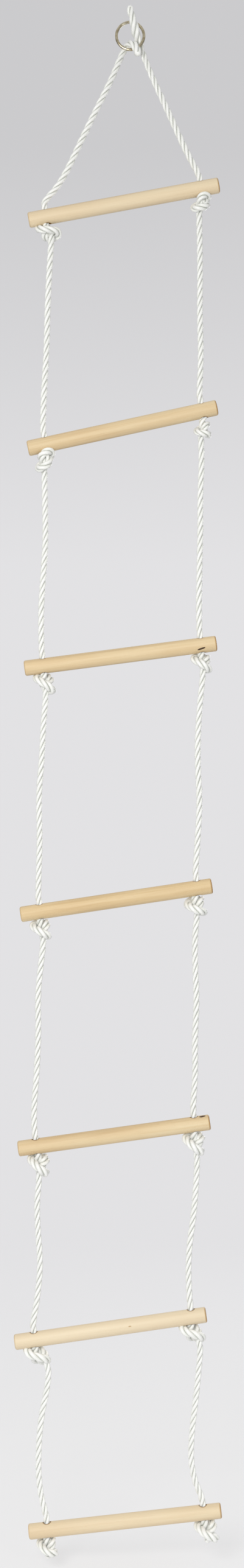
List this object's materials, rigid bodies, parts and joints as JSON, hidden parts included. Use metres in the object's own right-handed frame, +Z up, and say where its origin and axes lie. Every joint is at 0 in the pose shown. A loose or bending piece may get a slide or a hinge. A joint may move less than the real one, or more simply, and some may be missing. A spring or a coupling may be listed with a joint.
{
  "type": "rope ladder",
  "caption": "Hanging rope ladder: a steel ring, two laid ropes tied to it, and round wooden rungs that the ropes pass through, knotted under each rung.",
  "frame": {"origin": "centre of the hanging ring", "axes": "+Z up along the hanging ladder, +X to the right along the rungs, +Y through the ring, away from the front"},
  "size_m": [0.3224, 0.036, 2.4016],
  "materials": {
    "ring_metal": "nickel-plated steel wire ring, polished",
    "rung_wood": "sanded pale hardwood, unvarnished, with a faint satin",
    "rope_fibre": "three-strand laid white synthetic rope, glossy fibres"
  },
  "bodies": {
    "top_ring": {"top_ring": "ring_metal"},
    "hitch": {"left_hitch": "rope_fibre", "right_hitch": "rope_fibre"},
    "bridle": {"left_leg": "rope_fibre", "right_leg": "rope_fibre"},
    "knots_1": {"left_knot_1": "rope_fibre", "right_knot_1": "rope_fibre"},
    "rung_1": {"rung_1": "rung_wood"},
    "span_1": {"left_span_1": "rope_fibre", "right_span_1": "rope_fibre"},
    "knots_2": {"left_knot_2": "rope_fibre", "right_knot_2": "rope_fibre"},
    "rung_2": {"rung_2": "rung_wood"},
    "span_2": {"left_span_2": "rope_fibre", "right_span_2": "rope_fibre"},
    "knots_3": {"left_knot_3": "rope_fibre", "right_knot_3": "rope_fibre"},
    "rung_3": {"rung_3": "rung_wood"},
    "span_3": {"left_span_3": "rope_fibre", "right_span_3": "rope_fibre"},
    "knots_4": {"left_knot_4": "rope_fibre", "right_knot_4": "rope_fibre"},
    "rung_4": {"rung_4": "rung_wood"},
    "span_4": {"left_span_4": "rope_fibre", "right_span_4": "rope_fibre"},
    "knots_5": {"left_knot_5": "rope_fibre", "right_knot_5": "rope_fibre"},
    "rung_5": {"rung_5": "rung_wood"},
    "span_5": {"left_span_5": "rope_fibre", "right_span_5": "rope_fibre"},
    "knots_6": {"left_knot_6": "rope_fibre", "right_knot_6": "rope_fibre"},
    "rung_6": {"rung_6": "rung_wood"},
    "span_6": {"left_span_6": "rope_fibre", "right_span_6": "rope_fibre"},
    "knots_7": {"left_knot_7": "rope_fibre", "right_knot_7": "rope_fibre"},
    "rung_7": {"rung_7": "rung_wood"}
  },
  "joints": [
    {"name": "ring_swing", "type": "hinge", "parent": "top_ring", "child": "hitch", "pos_m": [0, 0, 0], "axis": [0, 1, 0], "range_deg": [-40, 40]},
    {"name": "leg_fold", "type": "hinge", "parent": "hitch", "child": "bridle", "pos_m": [0.0035, 0.005, -0.04], "axis": [1, 0, 0], "range_deg": [-90, 90]},
    {"name": "rung_1_roll", "type": "hinge", "parent": "bridle", "child": "knots_1", "pos_m": [-0.01433, 0, -0.23489], "axis": [-0.9836, 0, -0.1805], "range_deg": [-90, 90]},
    {"name": "rung_1_slide", "type": "slide", "parent": "knots_1", "child": "rung_1", "axis": [-0.1805, 0, 0.9836], "range_m": [0, 0.006]},
    {"name": "span_1_fold", "type": "hinge", "parent": "knots_1", "child": "span_1", "pos_m": [-0.00775, 0, -0.30425], "axis": [-0.9882, 0, -0.1529], "range_deg": [-90, 90]},
    {"name": "rung_2_roll", "type": "hinge", "parent": "span_1", "child": "knots_2", "pos_m": [-0.01424, 0, -0.58343], "axis": [0.9774, 0, 0.2113], "range_deg": [-90, 90]},
    {"name": "rung_2_slide", "type": "slide", "parent": "knots_2", "child": "rung_2", "axis": [-0.2113, 0, 0.9774], "range_m": [0, 0.006]},
    {"name": "span_2_fold", "type": "hinge", "parent": "knots_2", "child": "span_2", "pos_m": [-0.01175, 0, -0.654], "axis": [0.9717, 0, 0.2364], "range_deg": [-90, 90]},
    {"name": "rung_3_roll", "type": "hinge", "parent": "span_2", "child": "knots_3", "pos_m": [-0.01517, 0, -0.93632], "axis": [-0.9917, 0, -0.1288], "range_deg": [-90, 90]},
    {"name": "rung_3_slide", "type": "slide", "parent": "knots_3", "child": "rung_3", "axis": [-0.1288, 0, 0.9917], "range_m": [0, 0.006]},
    {"name": "span_3_fold", "type": "hinge", "parent": "knots_3", "child": "span_3", "pos_m": [-0.009, 0, -1.009], "axis": [-0.9881, 0, -0.1539], "range_deg": [-90, 90]},
    {"name": "rung_4_roll", "type": "hinge", "parent": "span_3", "child": "knots_4", "pos_m": [-0.02094, 0, -1.31465], "axis": [0.989, 0, 0.1478], "range_deg": [-90, 90]},
    {"name": "rung_4_slide", "type": "slide", "parent": "knots_4", "child": "rung_4", "axis": [-0.1478, 0, 0.989], "range_m": [0, 0.006]},
    {"name": "span_4_fold", "type": "hinge", "parent": "knots_4", "child": "span_4", "pos_m": [-0.0155, 0, -1.383], "axis": [0.9875, 0, 0.1577], "range_deg": [-90, 90]},
    {"name": "rung_5_roll", "type": "hinge", "parent": "span_4", "child": "knots_5", "pos_m": [-0.02567, 0, -1.67936], "axis": [-0.9905, 0, -0.1374], "range_deg": [-90, 90]},
    {"name": "rung_5_slide", "type": "slide", "parent": "knots_5", "child": "rung_5", "axis": [-0.1374, 0, 0.9905], "range_m": [0, 0.006]},
    {"name": "span_5_fold", "type": "hinge", "parent": "knots_5", "child": "span_5", "pos_m": [-0.0185, 0, -1.757], "axis": [-0.9916, 0, -0.1295], "range_deg": [-90, 90]},
    {"name": "rung_6_roll", "type": "hinge", "parent": "span_5", "child": "knots_6", "pos_m": [-0.02952, 0, -1.97811], "axis": [0.9898, 0, 0.1426], "range_deg": [-90, 90]},
    {"name": "rung_6_slide", "type": "slide", "parent": "knots_6", "child": "rung_6", "axis": [-0.1426, 0, 0.9898], "range_m": [0, 0.006]},
    {"name": "span_6_fold", "type": "hinge", "parent": "knots_6", "child": "span_6", "pos_m": [-0.0085, 0, -2.0515], "axis": [0.9897, 0, 0.1432], "range_deg": [-90, 90]},
    {"name": "rung_7_roll", "type": "hinge", "parent": "span_6", "child": "knots_7", "pos_m": [-0.00969, 0, -2.27704], "axis": [-0.994, 0, -0.1097], "range_deg": [-90, 90]},
    {"name": "rung_7_slide", "type": "slide", "parent": "knots_7", "child": "rung_7", "axis": [-0.1097, 0, 0.994], "range_m": [0, 0.006]}
  ]
}
